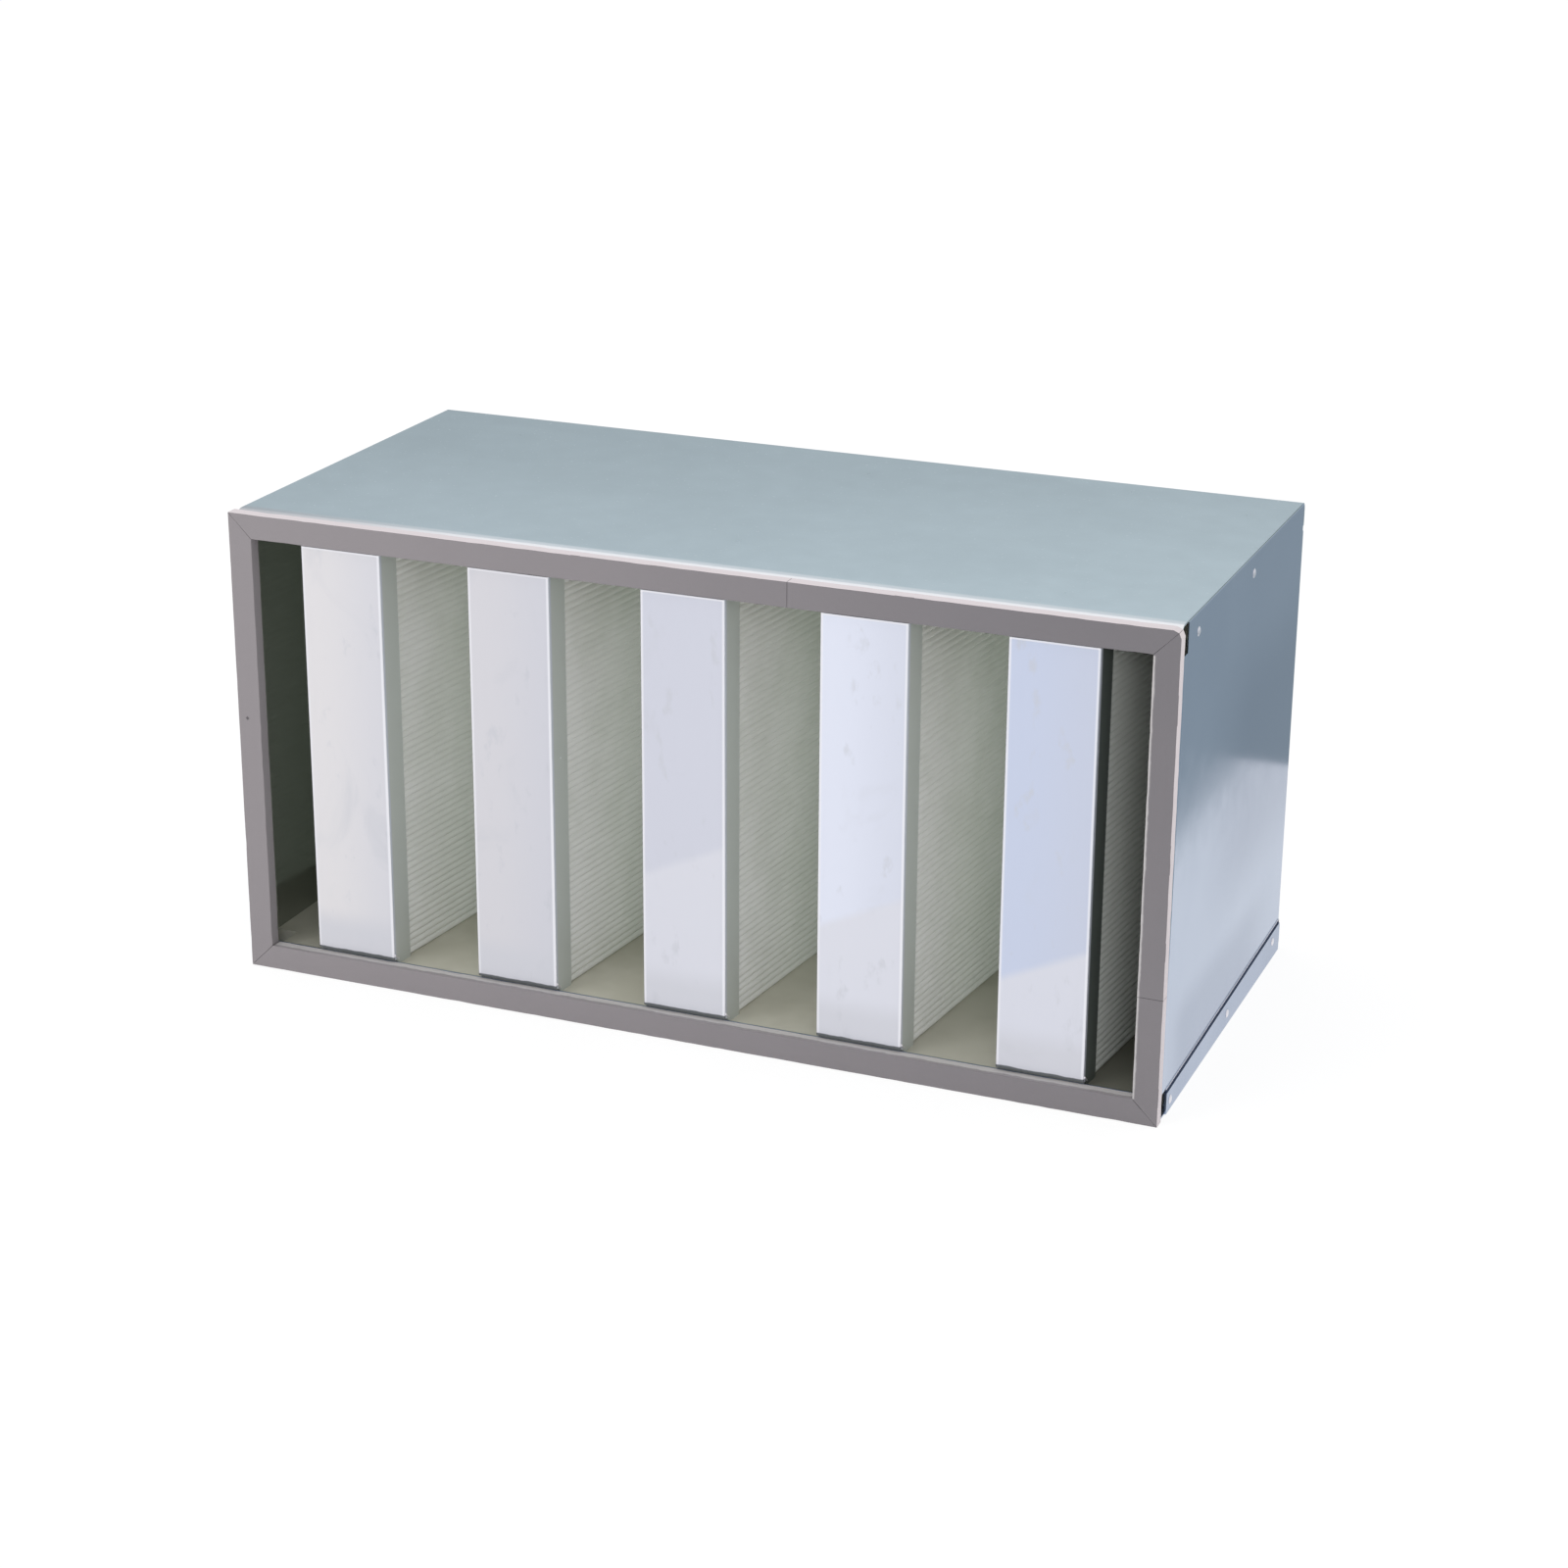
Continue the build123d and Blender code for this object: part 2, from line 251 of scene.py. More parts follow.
def capFace(finish, tones):  # the cap's own tone and the soft reflections on it
    x, z = finish.x, finish.z
    base = tone(*tones[0])
    for edge, nextTone in zip(capLook["between"], tones[1:]):
        base = finish.mix(x.rise(edge - capLook["betweenSoft"], edge + capLook["betweenSoft"]),
                          base, tone(*nextTone))
    half = capLook["pitch"] / 2
    within = x.maths("FLOORED_MODULO", x + half, capLook["pitch"]) - half  # from the cap's own middle
    look = capLook["rightward"]
    share = within.rise(*look["across"]) * abs(x).rise(*look["away"]) * look["share"]
    base = finish.mix(share, base, tone(*look["colour"]))
    look = capLook["lower"]
    line = within * look["slant"] + x * look["fall"] + look["height"]
    share = (line - z).rise(-look["soft"], look["soft"]) * x.rise(*look["from"]) * look["share"]
    base = finish.mix(share, base, tone(*look["colour"]))
    look = capLook["foot"]
    return finish.mix(z.rise(*look["down"]) * look["share"], base, tone(*look["colour"])), within


def capSheet(name, tones):
    finish = newFinish(name)
    x, z = finish.x, finish.z
    base, within = capFace(finish, tones)
    look = capLook["smudge"]
    smear = finish.noise(look["smearSize"], 4.0, 0.6, (1, 1, 0.6), (0.3, 0.1, 0.7), 0.6)
    dirt = finish.noise(look["dirtSize"], 3.0, 0.6, (1, 1, 0.5), (0.9, 0, 0.2))
    share = smear.rise(*look["smear"]) * look["smearShare"] + dirt.rise(*look["dirt"]) * look["dirtShare"]
    base = finish.mix(share, base, tone(*look["colour"]))
    # painted highlight along the side and top edges of each cap face
    look = capLook["edgeHighlight"]
    edgeHighlight = abs(within).rise(*look["across"]) + z.rise(*look["up"])
    base = finish.mix(edgeHighlight * look["share"], base, tone(*look["colour"]))
    # painted shadow along the bottom edge of each cap face, a little frayed
    look = capLook["gap"]
    frayed = finish.noise(look["frayedSize"], 2.0, 0.5) * look["frayed"]
    base = finish.mix((z + frayed).rise(*look["down"]) * look["share"], base, tone(*look["colour"]))
    # the legs are painted: lighter and bluer near the front where light reaches, greenish as a reflection
    # of the media, and dark on the last cap as shade
    look = capLook["leg"]
    depth = abs(finish.y)
    leg = depth.rise(*look["from"])
    base = finish.mix(leg, base, tone(*look["near"]))
    side = finish.mix(x.rise(*look["rightFrom"]), tone(*look["left"]), tone(*look["right"]))
    base = finish.mix(depth.rise(*look["deep"]), base, side)
    dot = capLook["dot"]
    away = abs(x - dot["x"]) + abs(finish.y - dot["y"]) + abs(z - dot["z"])
    base = finish.mix(away.rise(*dot["size"]), base, tone(*capLook["edgeHighlight"]["colour"]))
    grain = finish.noise(capLook["grainSize"], 2.0, 0.6, (1, 1, 0.15))
    feed(finish, Base_Color=base, Roughness=grain * capLook["roughGrain"] + capLook["rough"],
         Metallic=leg * (look["metal"] - capLook["metal"]) + capLook["metal"])
    wave = finish.noise(capLook["waveSize"], 2.0, 0.5, (1, 1, 0.5))
    bump(finish, wave, capLook["bump"], capLook["bumpHeight"])
    return finish


capSteel = capSheet("capSteel", capLook["faces"])
rearSteel = capSheet("rearSteel", (capLook["faces"][1],))

# folded media paper; its deeper parts glow a little, painted light standing for light from behind the paper
mediaLook = {"light": (229, 229, 227), "dark": (221, 222, 218), "right": (216, 219, 215),
             "patchSize": 18.0, "patches": (0.35, 0.65), "rightFrom": (0.25, 0.256),
             "paintedGlow": (0.046, 0.053, 0.045), "paintedGlowFrom": (-0.125, -0.03)}


def mediaPaper():
    finish = newFinish("mediaPaper", Roughness=0.9, Specular_IOR_Level=0.1, Emission_Strength=1.0)
    patch = finish.noise(mediaLook["patchSize"], 3.0, 0.6).rise(*mediaLook["patches"])
    paper = finish.mix(patch, tone(*mediaLook["dark"]), tone(*mediaLook["light"]))
    # painted shade: the paper in the last half channel on the right is darker
    outerRightShade = finish.x.rise(*mediaLook["rightFrom"])
    # painted light: the deeper paper glows a little, except on the outer right
    deep = finish.y.rise(*mediaLook["paintedGlowFrom"]) * (1 - outerRightShade)
    feed(finish, Base_Color=finish.mix(outerRightShade, paper, tone(*mediaLook["right"])),
         Emission_Color=finish.mix(deep, (0.0, 0.0, 0.0), mediaLook["paintedGlow"]))
    return finish


media = mediaPaper()

# cast compound, painted darker to the right and in the outer channels as shade: from, to and share along x
pottingLook = {"light": (208, 206, 193), "dark": (194, 192, 178), "shaded": (118, 118, 108),
               "patchSize": 16.0, "patches": (0.35, 0.65),
               "waveSize": 40.0, "bump": 0.1, "bumpHeight": 0.002,
               "shades": ((0.02, 0.13, 0.25), (0.254, 0.26, 0.75), (-0.254, -0.26, 0.4))}


def pottingCast():
    finish = newFinish("pottingCast", Roughness=0.55, Specular_IOR_Level=0.3)
    pour = finish.noise(pottingLook["patchSize"], 3.0, 0.6).rise(*pottingLook["patches"])
    cast = finish.mix(pour, tone(*pottingLook["dark"]), tone(*pottingLook["light"]))
    right, outerRightShade, outerLeft = (finish.x.rise(low, high) * share
                                    for low, high, share in pottingLook["shades"])
    shaded = right + outerRightShade + outerLeft
    feed(finish, Base_Color=finish.mix(shaded, cast, tone(*pottingLook["shaded"])))
    wave = finish.noise(pottingLook["waveSize"], 2.0, 0.5)
    bump(finish, wave, pottingLook["bump"], pottingLook["bumpHeight"])
    return finish


potting = pottingCast()

# foam gasket: grey skin on the front, pale cut sides
foamLook = {
    "left": (147, 142, 145), "right": (123, 120, 124), "across": (-0.32, 0.34),
    "darkerUp": 1.4, "darkerLow": 0.6, "patchSize": 12.0, "patchy": 0.25, "tearSize": 160.0, "torn": 0.0012,
    "poreSize": 700.0, "bump": 0.15, "bumpHeight": 0.0006, "cut": (226, 218, 221), "paleLine": (200, 197, 197),
    "upper": {"colour": (160, 155, 158), "back": (-0.1457, -0.1453), "low": (0.0145, 0.0153),
              "high": (0.0185, 0.018), "across": (0.2885, 0.288), "paleLineBack": (-0.1424, -0.1412)},
    "rightEdge": {"from": (0.2916, 0.2906), "to": (0.288, 0.2885), "high": (0.2892, 0.2882),
                  "low": (0.0155, 0.0163), "share": 0.8},
    "mark": {"colour": (96, 92, 96), "x": -0.2986, "z": 0.1707, "size": (0.0018, 0.0008)},
}


def gasketSkin():
    finish = newFinish("foamSkin", Roughness=0.95, Specular_IOR_Level=0.1)
    x, y, z = finish.x, finish.y, finish.z
    patchy = (finish.noise(foamLook["patchSize"], 2.0, 0.5) - 0.5) * foamLook["patchy"]
    # painted shade: the skin is darker to the right, most at the top, as the light falls from the left
    shade = x.rise(*foamLook["across"]) * (z * foamLook["darkerUp"] + foamLook["darkerLow"]) + patchy
    skin = finish.mix(shade, tone(*foamLook["left"]), tone(*foamLook["right"]))
    tear = finish.noise(foamLook["tearSize"], 2.0, 0.5) * foamLook["torn"]
    look = foamLook["upper"]  # the upper side of the bottom strip, painted darker as shade
    upper = y.rise(*look["back"]) * z.rise(*look["low"]) * z.rise(*look["high"])
    upper = upper * abs(x).rise(*look["across"])
    # a pale line near the back of the bottom strip's upper side
    paleLine = upper * (y + tear * 2).rise(*look["paleLineBack"])
    skin = finish.mix(upper, skin, tone(*look["colour"]))
    look = foamLook["rightEdge"]  # a pale line along the inner edge of the right strips
    paleLineRight = (x + tear).rise(*look["from"]) * x.rise(*look["to"]) * z.rise(*look["high"])
    paleLineRight = paleLineRight * z.rise(*look["low"]) * look["share"]
    skin = finish.mix(paleLine + paleLineRight, skin, tone(*foamLook["paleLine"]))
    mark = foamLook["mark"]
    away = abs(x - mark["x"]) + abs(z - mark["z"])
    feed(finish, Base_Color=finish.mix(away.rise(*mark["size"]), skin, tone(*mark["colour"])))
    pores = finish.noise(foamLook["poreSize"], 2.0, 0.6)
    bump(finish, pores, foamLook["bump"], foamLook["bumpHeight"])
    return finish


foamSkin = gasketSkin()
foamCut = newFinish("foamCut", Roughness=0.95, Specular_IOR_Level=0.1, Base_Color=tone(*foamLook["cut"]))

# plain finishes
sealant = newFinish("sealantGrey", Roughness=0.7, Base_Color=tone(120, 122, 120))
# dark finish for the painted shadow above each bottom lap
lapGapShadow = newFinish("lapGapShadow", Roughness=0.8, Specular_IOR_Level=0.1, Base_Color=tone(52, 63, 86))
rivetMetal = newFinish("rivetMetal", Metallic=0.8, Roughness=0.35, Base_Color=tone(232, 230, 236))
print("finishes made")


def finishFor(name):
    if name == "casing_top":
        return topSteel
    if name == "casing_bottom":
        return lapSteel
    if name.startswith("casing"):
        return sideSteel
    if name.startswith("potting"):
        return potting
    if name.startswith("front_cap"):
        return capSteel
    if "cap" in name or "closer" in name:
        return rearSteel
    if "seal" in name:
        return sealant
    if name.startswith("media"):
        return media
    if name.startswith("gasket"):
        return foamSkin
    return rivetMetal


for name, piece in nodes.items():
    piece.data.materials.clear()
    piece.data.materials.append(finishFor(name).material)
print("nodes painted")


def place(name, mesh, finishes):
    made = bpy.data.objects.new(name, mesh)
    bpy.context.scene.collection.objects.link(made)
    mesh.materials.clear()
    for finish in finishes:
        mesh.materials.append(finish.material)
    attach(made, "root")
    return made


# a tree that sets a piece on every point, lets it wander a little and gives it a finish
repeatLook = {"weld": 2e-5, "drift": (6.0, 16.0, 70.0), "along": (0.5, 0.0, 1.0)}


def repeatTree():
    tree = bpy.data.node_groups.new("repeatPiece", "GeometryNodeTree")
    sockets = {}
    for label, kind in (("Geometry", "NodeSocketGeometry"), ("Piece", "NodeSocketObject"),
                        ("Wander", "NodeSocketFloat"), ("Finish", "NodeSocketMaterial")):
        sockets[label] = tree.interface.new_socket(label, in_out="INPUT", socket_type=kind).identifier
    tree.interface.new_socket("Geometry", in_out="OUTPUT", socket_type="NodeSocketGeometry")
    build = Shader(tree)
    given = build.node("NodeGroupInput")
    piece = build.node("GeometryNodeObjectInfo", {}, {"Object": build.value(given, "Piece")})
    spread = build.node("GeometryNodeInstanceOnPoints", {}, {
        "Points": build.value(given, "Geometry"), "Instance": build.value(piece, "Geometry")})
    real = build.node("GeometryNodeRealizeInstances", {}, {0: build.value(spread)})
    joined = build.node("GeometryNodeMergeByDistance", {}, {
        "Geometry": build.value(real), "Distance": repeatLook["weld"]})
    spot = build.value(build.node("GeometryNodeInputPosition"))
    drift = build.node("ShaderNodeVectorMath", {"operation": "MULTIPLY"}, {0: spot, 1: repeatLook["drift"]})
    wave = build.node("ShaderNodeTexNoise", {}, {"Vector": build.value(drift), "Scale": 1.0, "Detail": 1.0})
    centred = build.node("ShaderNodeVectorMath", {"operation": "SUBTRACT"},
                         {0: build.value(wave, "Color"), 1: (0.5, 0.5, 0.5)})
    apart = build.node("ShaderNodeVectorMath", {"operation": "MULTIPLY"},
                       {0: build.value(centred), 1: repeatLook["along"]})
    offset = build.node("ShaderNodeVectorMath", {"operation": "SCALE"},
                        {0: build.value(apart), "Scale": build.value(given, "Wander")})
    moved = build.node("GeometryNodeSetPosition", {}, {
        "Geometry": build.value(joined), "Offset": build.value(offset)})
    painted = build.node("GeometryNodeSetMaterial", {}, {
        "Geometry": build.value(moved), "Material": build.value(given, "Finish")})
    build.node("NodeGroupOutput", {}, {0: build.value(painted)})
    return tree, sockets


pieceTree, pieceSockets = repeatTree()


def repeated(name, points, pieceMesh, wander, finish):
    pieceHolder = bpy.data.objects.new(name + "Unit", pieceMesh)
    bpy.context.scene.collection.objects.link(pieceHolder)
    pointMesh = bpy.data.meshes.new(name + "Points")
    pointMesh.from_pydata(points, [], [])
    holder = bpy.data.objects.new(name + "Source", pointMesh)
    bpy.context.scene.collection.objects.link(holder)
    modifier = holder.modifiers.new("repeat", "NODES")
    modifier.node_group = pieceTree
    modifier[pieceSockets["Piece"]] = pieceHolder
    modifier[pieceSockets["Wander"]] = wander
    modifier[pieceSockets["Finish"]] = finish.material
    bpy.context.view_layer.update()
    graph = bpy.context.evaluated_depsgraph_get()
    made = bpy.data.meshes.new_from_object(holder.evaluated_get(graph))
    bpy.data.objects.remove(holder)
    bpy.data.objects.remove(pieceHolder)
    made.name = name
    return made


def opened(mesh):  # a mesh to work on, its corners joined
    work = bmesh.new()
    work.from_mesh(mesh)
    bmesh.ops.remove_doubles(work, verts=work.verts, dist=1e-6)
    return work


def closed(mesh):  # fills the open ends and turns the faces outwards
    work = opened(mesh)
    bmesh.ops.holes_fill(work, edges=[e for e in work.edges if e.is_boundary], sides=0)
    bmesh.ops.recalc_face_normals(work, faces=work.faces)
    work.to_mesh(mesh)
    work.free()
    return mesh


# media packs: round-sided folds in place of the sharp ones
foldLook = {"pitch": 0.0045, "round": 0.0027, "wander": 0.0006, "lengthParts": 9, "roundParts": 6,
            "sharp": 45, "near": 1e-4, "inset": 1e-4}


def foldUnit(node):  # one fold, its outer sides round
    spots = [v.co.copy() for v in node.data.vertices]
    yFront = min(v.y for v in spots)
    yRear = max(v.y for v in spots)
    front = [v.x for v in spots if v.y < yFront + foldLook["near"]]
    rear = [v.x for v in spots if v.y > yRear - foldLook["near"]]
    zLow = min(v.z for v in spots)
    zHigh = max(v.z for v in spots)
    count = round((zHigh - zLow) / foldLook["pitch"])
    pitch = (zHigh - zLow) / count
    halfPack = (max(front) - min(front)) / 2
    frontMiddle = (min(front) + max(front)) / 2
    rearMiddle = (min(rear) + max(rear)) / 2
    curve = foldLook["round"]
    line = []
    for step in range(foldLook["roundParts"] + 1):
        lift = pitch * (step / foldLook["roundParts"] - 0.5)
        line.append((halfPack - curve + math.sqrt(curve ** 2 - lift ** 2), lift))
    parts, wide = foldLook["lengthParts"], len(line)
    corners, faces = [], []
    for step in range(parts + 1):
        share = step / parts
        middle = frontMiddle * (1 - share) + rearMiddle * share
        for side in (1, -1):
            for out, lift in line:
                corners.append((middle + side * out, yFront + (yRear - yFront) * share, lift))
    for step in range(parts):
        for a in [step * 2 * wide + k for k in range(2 * wide - 1) if k != wide - 1]:
            faces.append((a, a + 1, a + 1 + 2 * wide, a + 2 * wide))
    for a in range(wide - 1):
        for b in (a, a + parts * 2 * wide):
            faces.append((b, b + 1, b + 1 + wide, b + wide))
    mesh = bpy.data.meshes.new("foldUnit")
    mesh.from_pydata(corners, [], faces)
    return mesh, [(0, 0, zLow + pitch * (k + 0.5)) for k in range(count)]


for name in sorted(n for n in nodes if n.startswith("media")):
    unit, spots = foldUnit(nodes[name])
    folds = closed(repeated("folds" + name[5:], spots, unit, foldLook["wander"], media))
    low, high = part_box(name)
    for corner in folds.vertices:
        corner.co.z = min(max(corner.co.z, low.z + foldLook["inset"]), high.z - foldLook["inset"])
    pack = place("folds" + name[5:], folds, [media])
    for face in folds.polygons:
        face.use_smooth = True
    folds.set_sharp_from_angle(angle=math.radians(foldLook["sharp"]))
    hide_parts(name)
print("media folded")

# foam gasket strips: soft edges, cut a little unevenly
stripLook = {"soft": 0.0004, "uneven": 0.0004, "part": 0.006, "longEdge": 0.02, "flat": 0.02,
             "near": 1e-5, "endKept": 0.001, "endCalm": 0.02, "waves": (55, 190),
             "sideFlat": 0.3, "endFlat": 0.4}
frameMiddle = (cadBox[0][2] + cadBox[1][2]) / 2  # half-way up the case


def softFront(work, low, along):  # bevels the long front edges
    longEdges = [e for e in work.edges if all(v.co.y < low.y + stripLook["near"] for v in e.verts)
                 and abs(e.verts[0].co[along] - e.verts[1].co[along]) > stripLook["longEdge"]]
    bmesh.ops.bevel(work, geom=longEdges, offset=stripLook["soft"], segments=2, profile=0.6, affect="EDGES")


def unevenSides(work, low, high, along):  # cuts the strip into lengths and bites a little off its sides
    count = int((high[along] - low[along]) / stripLook["part"])
    for k in range(1, count):
        cut = Vector((0, 0, 0))
        cut[along] = low[along] + (high[along] - low[along]) * k / count
        direction = Vector((0, 0, 0))
        direction[along] = 1
        everything = work.verts[:] + work.edges[:] + work.faces[:]
        bmesh.ops.bisect_plane(work, geom=everything, plane_co=cut, plane_no=direction)
    across = 2 - along
    middle = (low[across] + high[across]) / 2
    coarse, fine = stripLook["waves"]
    for v in work.verts:
        ends = min(v.co[along] - low[along], high[along] - v.co[along])
        if ends < stripLook["endKept"]:
            continue
        side = 1 if v.co[across] > middle else -1
        bite = abs(noise.noise(v.co * coarse) + 0.5 * noise.noise(v.co * fine))
        v.co[across] -= side * bite * stripLook["uneven"] * min(1, ends / stripLook["endCalm"])


def foamStrip(name):
    work = opened(nodes[name].data)
    bmesh.ops.dissolve_limit(work, angle_limit=stripLook["flat"], verts=work.verts, edges=work.edges)
    low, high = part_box(name)
    along = 0 if high.x - low.x > high.z - low.z else 2
    softFront(work, low, along)
    unevenSides(work, low, high, along)
    bmesh.ops.recalc_face_normals(work, faces=work.faces)
    mesh = bpy.data.meshes.new("foam" + name[6:])
    work.to_mesh(mesh)
    work.free()
    strip = place("foam" + name[6:], mesh, [foamSkin, foamCut])
    for face in mesh.polygons:  # only the outer long sides show the pale cut foam
        outward = face.normal.x * face.center.x + face.normal.z * (face.center.z - frameMiddle) > 0
        side = abs(face.normal.y) < stripLook["sideFlat"] and abs(face.normal[along]) < stripLook["endFlat"]
        face.material_index = 1 if outward and side else 0
    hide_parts(name)


for name in sorted(n for n in nodes if n.startswith("gasket")):
    foamStrip(name)
print("gasket strips cut")

# rivets: domed heads where the plain ones are
rivetLook = {"rings": 5, "around": 20}


def rivetUnit(side, radius, rise):
    big = (radius ** 2 + rise ** 2) / (2 * rise)
    corners, faces = [(side * rise, 0, 0)], []
    for ring in range(1, rivetLook["rings"] + 1):
        r = radius * ring / rivetLook["rings"]
        x = side * (math.sqrt(big ** 2 - r ** 2) - big + rise)
        for k in range(rivetLook["around"]):
            angle = 2 * math.pi * k / rivetLook["around"]
            corners.append((x, r * math.cos(angle), r * math.sin(angle)))
    n = rivetLook["around"]
    for k in range(n):
        faces.append((0, 1 + k, 1 + (k + 1) % n))
        for ring in range(rivetLook["rings"] - 1):
            a = 1 + ring * n
            faces.append((a + k, a + n + k, a + n + (k + 1) % n, a + (k + 1) % n))
    mesh = bpy.data.meshes.new("rivetUnit")
    mesh.from_pydata(corners, [], faces)
    return mesh


def separateHeads(name):  # the corners of each separate head in the node
    work = opened(nodes[name].data)
    heads, seen = [], set()
    for start in work.verts:
        if start in seen:
            continue
        group, queue = [], [start]
        seen.add(start)
        while queue:
            v = queue.pop()
            group.append(v.co.copy())
            for edge in v.link_edges:
                other = edge.other_vert(v)
                if other not in seen:
                    seen.add(other)
                    queue.append(other)
        heads.append(group)
    work.free()
    return heads


for name, side in (("rivets_left", -1), ("rivets_right", 1)):
    heads = separateHeads(name)
    base = [min(side * c.x for c in g) for g in heads]
    spots = [(side * b, (min(c.y for c in g) + max(c.y for c in g)) / 2,
              (min(c.z for c in g) + max(c.z for c in g)) / 2) for b, g in zip(base, heads)]
    radius = (max(c.y for c in heads[0]) - min(c.y for c in heads[0])) / 2
    rise = max(side * c.x for c in heads[0]) - base[0]
    domes = closed(repeated("domes" + name[6:], spots, rivetUnit(side, radius, rise), 0.0, rivetMetal))
    placed = place("domes" + name[6:], domes, [rivetMetal])
    for face in domes.polygons:
        face.use_smooth = len(face.vertices) < 5
    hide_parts(name)
print("rivets domed")


def bar(name, ends, xs, tall, finish):  # thin bar along a line of (y, z) points
    (ya, za), (yb, zb) = ends
    corners = [(x, y, z + lift) for y, z in ((ya, za), (yb, zb)) for x in xs for lift in (0, tall)]
    faces = [(0, 1, 3, 2), (4, 6, 7, 5), (0, 4, 5, 1), (2, 3, 7, 6), (0, 2, 6, 4), (1, 5, 7, 3)]
    mesh = bpy.data.meshes.new(name)
    mesh.from_pydata(corners, [], faces)
    closed(mesh)
    return place(name, mesh, [finish])


# a dark bar above each bottom lap, painted shadow where the lap stands off the sheet, and a bright strip
# over it, a painted highlight of its edge
gapLook = {"front": (-0.1268, 0.0134), "rear": (0.1408, 0.0189), "wall": 0.304, "sunk": 0.0002,
           "proud": 0.0005, "tall": 0.0024, "line": 0.0004}
for side, name in ((-1, "lapGapLeft"), (1, "lapGapRight")):
    ends = (gapLook["front"], gapLook["rear"])
    over = [(y, z + gapLook["tall"]) for y, z in ends]
    xs = (side * (gapLook["wall"] - gapLook["sunk"]), side * (gapLook["wall"] + gapLook["proud"]))
    bar(name, ends, xs, gapLook["tall"], lapGapShadow)
    bar(name.replace("Gap", "Line"), over, xs, gapLook["line"], rivetMetal)

# pale cut edges at the toes of the cap legs
toeLook = {"halfCap": 0.0274, "clear": 0.0001, "proud": 0.0009, "tall": 0.0012,
           "front": (0.0002, 0.0204), "rear": (0.0052, 0.0166)}  # y behind the cap's face, and z
for k in range(1, 6):
    low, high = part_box("front_cap_%d" % k)
    faceRight = (low.x + high.x) / 2 + toeLook["halfCap"]
    ends = [(low.y + y, z) for y, z in (toeLook["front"], toeLook["rear"])]
    bar("capToe%d" % k, ends, (faceRight + toeLook["clear"], faceRight + toeLook["proud"]),
        toeLook["tall"], rivetMetal)
print("trim added")

# stage: a white floor, and darker cards that only reflections see
stageLook = {"floorGlow": 1.08, "floorReach": 6, "floorUnder": 0.0005, "shadowShare": 0.2,
             "matt": (0.9, 0.9, 0.9),
             "dark": (0.376, 0.44, 0.47), "darkRight": 0.421, "darkRear": 0.492, "reach": 4,
             "behind": (0.60, 0.665, 0.70), "behindAway": 1.6, "behindTall": 1.6}


def seenDirectly(shader):  # 1 for what the camera and reflections see, 0 for what lights the scene
    path = shader.node("ShaderNodeLightPath")
    seen = shader.value(path, "Is Camera Ray") + shader.value(path, "Is Glossy Ray")
    return seen + shader.value(path, "Is Transmission Ray")


def stageMaterial(name, colour, strength, shadowShare=None):
    made = bpy.data.materials.new(name)
    made.use_nodes = True
    look = Shader(made.node_tree)
    look.tree.nodes.clear()
    glow = look.node("ShaderNodeEmission", {}, {"Color": (*colour, 1), "Strength": strength})
    surface = look.value(glow)
    if shadowShare is not None:
        matt = look.node("ShaderNodeBsdfDiffuse", {}, {"Color": (*stageLook["matt"], 1)})
        blend = look.node("ShaderNodeMixShader", {}, {
            0: seenDirectly(look) * (1 - shadowShare), 1: look.value(matt), 2: surface})
        surface = look.value(blend)
    look.node("ShaderNodeOutputMaterial", {}, {"Surface": surface})
    return made


def card(name, corners, material, reflectedOnly):
    mesh = bpy.data.meshes.new(name)
    mesh.from_pydata(corners, [], [tuple(range(len(corners)))])
    made = bpy.data.objects.new(name, mesh)
    bpy.context.scene.collection.objects.link(made)
    mesh.materials.append(material)
    if reflectedOnly:
        made.visible_camera = False
        made.visible_diffuse = False
        made.visible_shadow = False
        made.visible_transmission = False


def flat(low, high, z):  # the corners of a level card
    return [(low[0], low[1], z), (high[0], low[1], z), (high[0], high[1], z), (low[0], high[1], z)]


floorWhite = stageMaterial("floorWhite", (1, 1, 1), stageLook["floorGlow"], stageLook["shadowShare"])
edge = stageLook["floorReach"]
card("floor", flat((-edge, -edge), (edge, edge), -stageLook["floorUnder"]), floorWhite, False)
darkFloor = stageMaterial("darkFloor", stageLook["dark"], 1.0)
far, fromX, fromY = stageLook["reach"], stageLook["darkRight"], stageLook["darkRear"]
card("darkFloorRight", flat((fromX, -far), (far, far), 0), darkFloor, True)
card("darkFloorRear", flat((-far, fromY), (fromX, far), 0), darkFloor, True)
behind = stageMaterial("behindTone", stageLook["behind"], 1.0)
away, tall = stageLook["behindAway"], stageLook["behindTall"]
card("behind", [(-far, away, 0), (far, away, 0), (far, away, tall), (-far, away, tall)], behind, True)

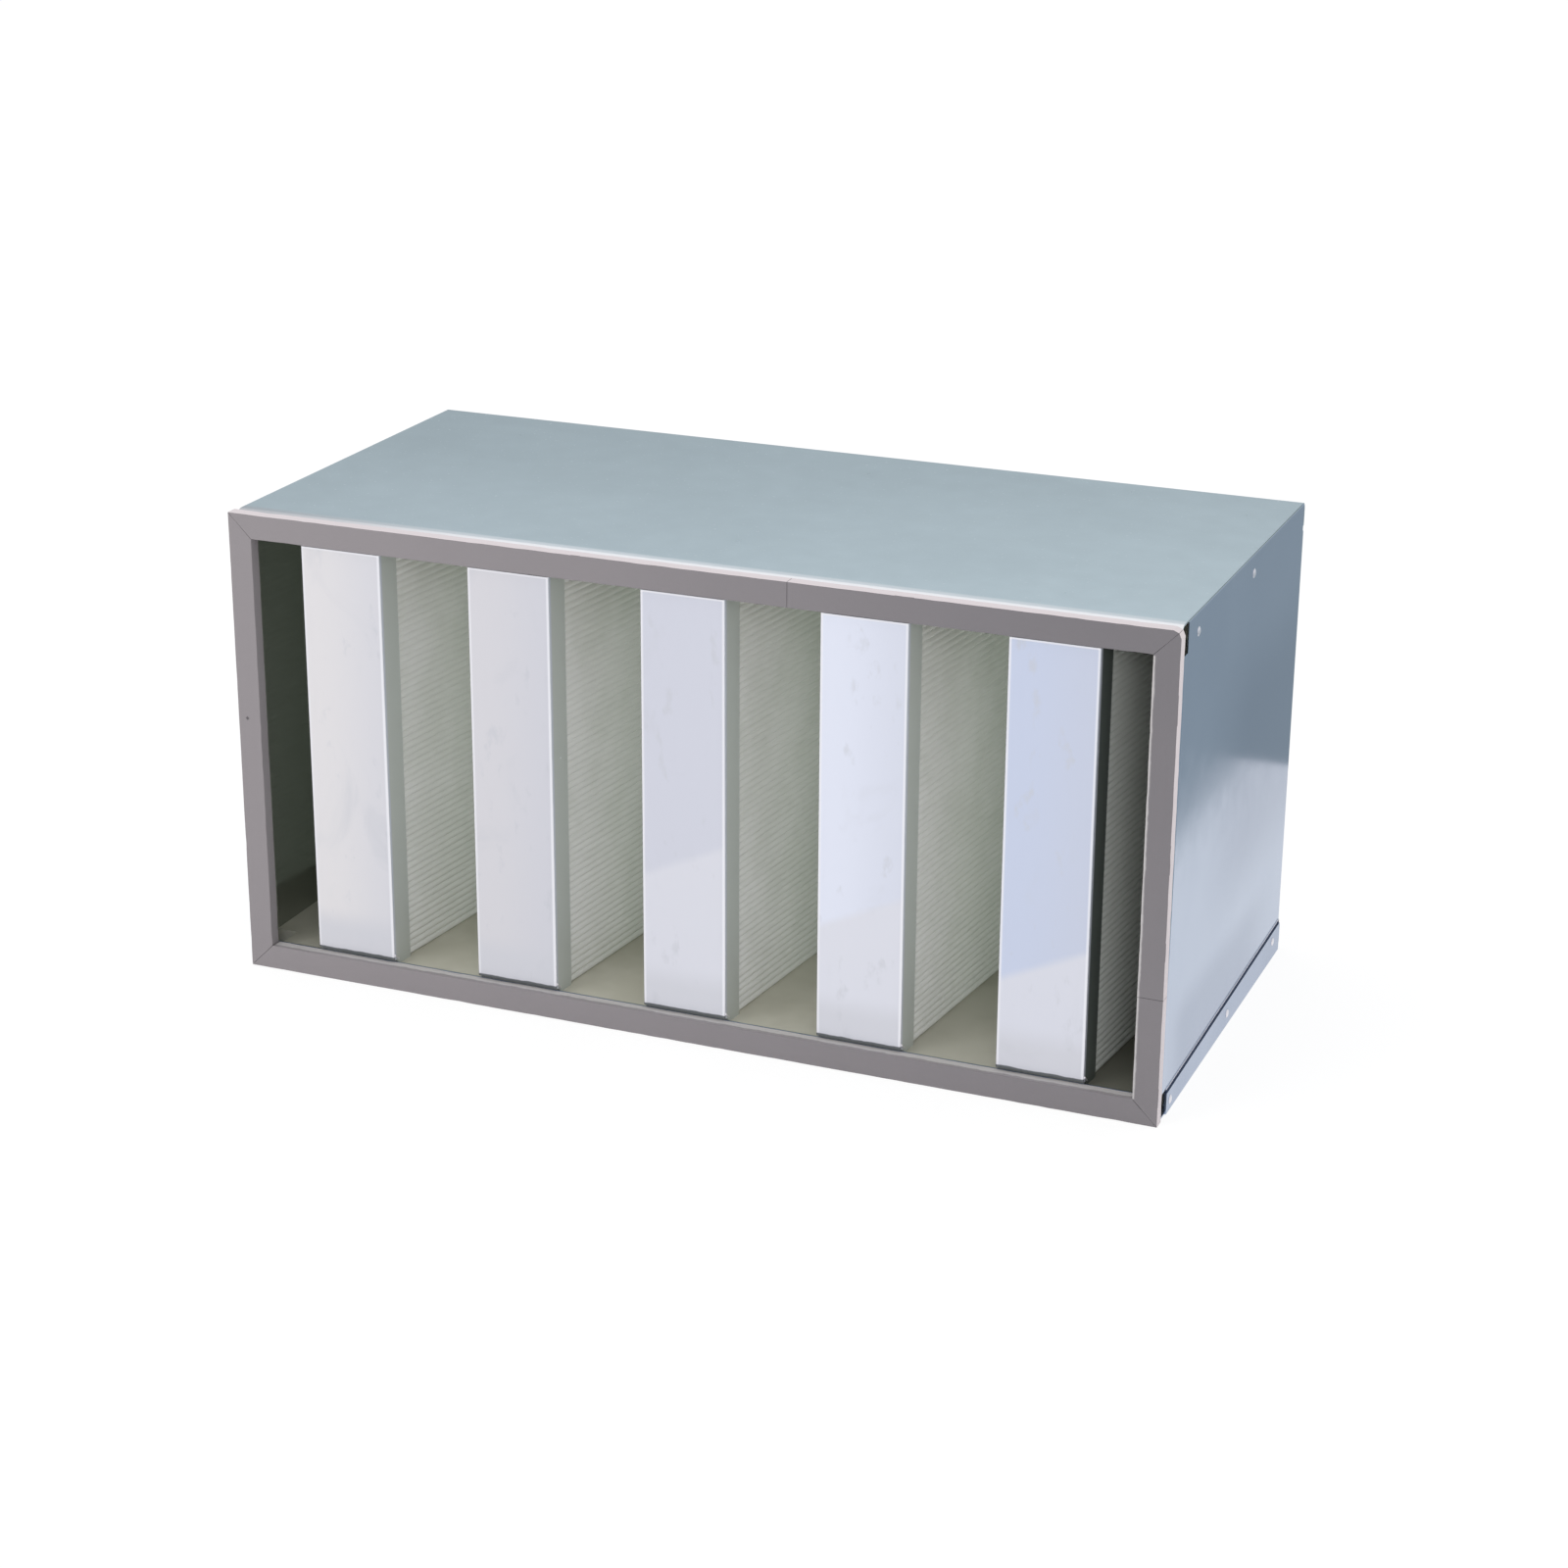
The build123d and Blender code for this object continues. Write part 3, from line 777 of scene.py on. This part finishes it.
# world: white to the camera and to reflections, softer as a light
worldLook = {"light": 0.85}
world = bpy.data.worlds.new("studio")
bpy.context.scene.world = world
world.use_nodes = True
sky = Shader(world.node_tree)
skyLevel = seenDirectly(sky) * (1 - worldLook["light"]) + worldLook["light"]
background = sky.tree.nodes["Background"]
background.inputs["Color"].default_value = (1, 1, 1, 1)
sky.tree.links.new(skyLevel.socket, background.inputs["Strength"])


def towards(look):  # a direction: degrees round from the front to the right, and above the floor
    turn, lift = math.radians(look["round"]), math.radians(look["above"])
    return Vector((math.sin(turn) * math.cos(lift), -math.cos(turn) * math.cos(lift), math.sin(lift)))


# lamps: angles, distance from the aim, size and the level that each gives
lampAim = Vector((0, 0, 0.15))
lampLook = {
    "keyRight": {"round": 24, "above": 24, "far": 3.0, "size": 0.8, "level": 0.1},
    "fillLeft": {"round": -30, "above": 26, "far": 3.0, "size": 1.2, "level": 0.16},
}
for name, look in lampLook.items():
    lamp = bpy.data.lights.new(name, "AREA")
    lamp.shape = "SQUARE"
    lamp.size = look["size"]
    lamp.energy = look["level"] * (math.pi * look["far"]) ** 2
    holder = bpy.data.objects.new(name, lamp)
    bpy.context.scene.collection.objects.link(holder)
    out = towards(look)
    holder.location = lampAim + out * look["far"]
    holder.rotation_euler = (-out).to_track_quat("-Z", "Y").to_euler()
    holder.visible_glossy = False
print("stage and lights set")

# camera, as the photograph was taken
cameraLook = {"round": 22.132, "above": 20.43, "roll": 0.373, "far": 1.9432,
              "aim": (0.061987, -0.1312, 0.17412), "lens": 74.72, "sensor": 36.0}
roll = math.radians(cameraLook["roll"])
back = towards(cameraLook)
across = (-back).cross(Vector((0, 0, 1))).normalized()
upward = across.cross(-back)
right = across * math.cos(roll) + upward * math.sin(roll)
above = upward * math.cos(roll) - across * math.sin(roll)
spot = Vector(cameraLook["aim"]) + back * cameraLook["far"]
cameraData = bpy.data.cameras.new("camera")
cameraData.lens = cameraLook["lens"]
cameraData.sensor_width = cameraLook["sensor"]
camera = bpy.data.objects.new("camera", cameraData)
bpy.context.scene.collection.objects.link(camera)
rows = [(right[axis], above[axis], back[axis], spot[axis]) for axis in range(3)]
camera.matrix_world = Matrix(rows + [(0, 0, 0, 1)])
bpy.context.scene.camera = camera
bpy.context.scene.view_settings.view_transform = "Standard"
